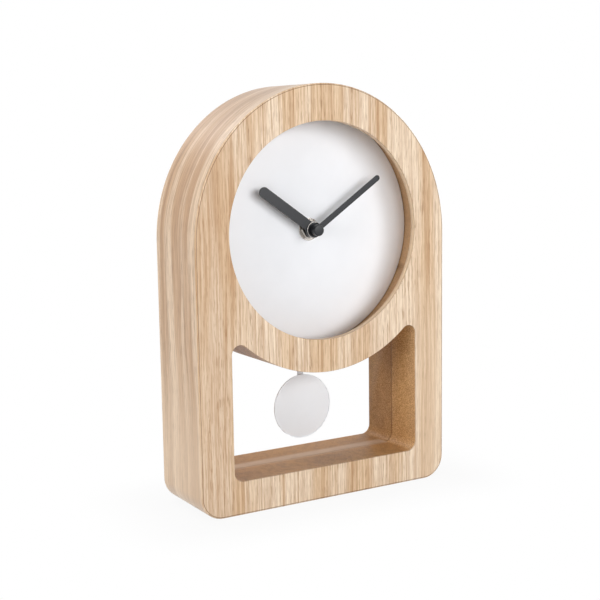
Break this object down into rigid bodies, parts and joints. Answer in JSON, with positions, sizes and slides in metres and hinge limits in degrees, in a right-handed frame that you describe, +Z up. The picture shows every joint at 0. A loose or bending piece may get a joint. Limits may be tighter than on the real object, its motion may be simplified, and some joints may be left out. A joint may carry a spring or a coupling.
{
  "type": "desk pendulum clock",
  "caption": "Arched wooden desk clock with a recessed white dial, baton hands and a disc pendulum that swings in an open window below, with a battery movement in its back.",
  "frame": {"origin": "on the base plane, under the middle of the case's width and depth", "axes": "+Z up, -Y out of the front of the dial, +X to the right of a person who reads the dial"},
  "size_m": [0.172, 0.052, 0.248],
  "materials": {
    "face_veneer": "pale open-grained veneer, satin lacquer",
    "edge_veneer": "pale veneer strip, satin lacquer",
    "fibreboard": "lacquered brown fibreboard",
    "dial_white": "smooth matte white",
    "hand_black": "matte black paint",
    "bright_nickel": "nickel plate on turned brass",
    "steel": "plain steel",
    "rubber": "black rubber",
    "movement_black": "moulded black plastic",
    "wheel_plastic": "moulded white plastic",
    "magnet_grey": "sintered magnet",
    "copper_wire": "enamelled copper winding",
    "board_green": "circuit board lacquer",
    "battery_jacket": "plain wrapped metal can",
    "pendulum_white": "white satin paint"
  },
  "bodies": {
    "case": {"case_front_board": "fibreboard", "case_rear_board": "fibreboard", "front_veneer": "face_veneer", "rear_veneer": "face_veneer", "edge_veneer": "edge_veneer", "base_veneer": "face_veneer", "dial": "dial_white", "rubber_washer": "rubber", "fixing_washer": "bright_nickel", "fixing_nut": "bright_nickel", "threaded_bush": "bright_nickel", "movement_front_shell": "movement_black", "movement_rear_shell": "movement_black", "gear_plate": "movement_black", "stator": "steel", "motor_coil": "copper_wire", "circuit_board": "board_green", "quartz_crystal": "steel", "battery": "battery_jacket", "battery_contact_positive": "steel", "battery_contact_negative": "steel", "drive_coil": "copper_wire", "pendulum_pivot_pin": "steel"},
    "minute": {"minute_arbor": "steel", "centre_wheel": "wheel_plastic", "minute_hand": "hand_black", "hand_cap": "hand_black"},
    "hour": {"hour_wheel": "wheel_plastic", "hour_hand": "hand_black"},
    "motion": {"motion_wheel": "wheel_plastic"},
    "setting": {"setting_knob": "wheel_plastic"},
    "third": {"third_wheel": "wheel_plastic"},
    "intermediate": {"intermediate_wheel": "wheel_plastic"},
    "rotor": {"rotor": "magnet_grey"},
    "pendulum": {"pendulum_hanger": "wheel_plastic", "pendulum_magnet": "magnet_grey", "pendulum_rod": "pendulum_white", "pendulum_bob": "pendulum_white"}
  },
  "joints": [
    {"name": "minute_turn", "type": "hinge", "parent": "case", "child": "minute", "pos_m": [0, 0, 0.162], "axis": [0, 1, 0], "continuous": true},
    {"name": "hour_turn", "type": "hinge", "parent": "case", "child": "hour", "pos_m": [0, 0, 0.162], "axis": [0, 1, 0], "continuous": true},
    {"name": "motion_turn", "type": "hinge", "parent": "case", "child": "motion", "pos_m": [0.00752, 0, 0.16474], "axis": [0, 1, 0], "continuous": true},
    {"name": "setting_turn", "type": "hinge", "parent": "case", "child": "setting", "pos_m": [0.01504, 0, 0.162], "axis": [0, 1, 0], "continuous": true},
    {"name": "third_turn", "type": "hinge", "parent": "case", "child": "third", "pos_m": [-0.00979, 0, 0.15744], "axis": [0, 1, 0], "continuous": true},
    {"name": "intermediate_turn", "type": "hinge", "parent": "case", "child": "intermediate", "pos_m": [-0.00634, 0, 0.14796], "axis": [0, 1, 0], "continuous": true},
    {"name": "rotor_turn", "type": "hinge", "parent": "case", "child": "rotor", "pos_m": [0.00086, 0, 0.14796], "axis": [0, 1, 0], "continuous": true},
    {"name": "pendulum_swing", "type": "hinge", "parent": "case", "child": "pendulum", "pos_m": [0, 0, 0.13], "axis": [0, 1, 0], "range_deg": [-8, 8]}
  ],
  "couplings": [
    {"joint": "hour_turn", "follows": "minute_turn", "ratio": 0.083333},
    {"joint": "motion_turn", "follows": "minute_turn", "ratio": -0.33333},
    {"joint": "setting_turn", "follows": "minute_turn", "ratio": 1},
    {"joint": "third_turn", "follows": "minute_turn", "ratio": -5},
    {"joint": "intermediate_turn", "follows": "minute_turn", "ratio": 30},
    {"joint": "rotor_turn", "follows": "minute_turn", "ratio": -90}
  ]
}
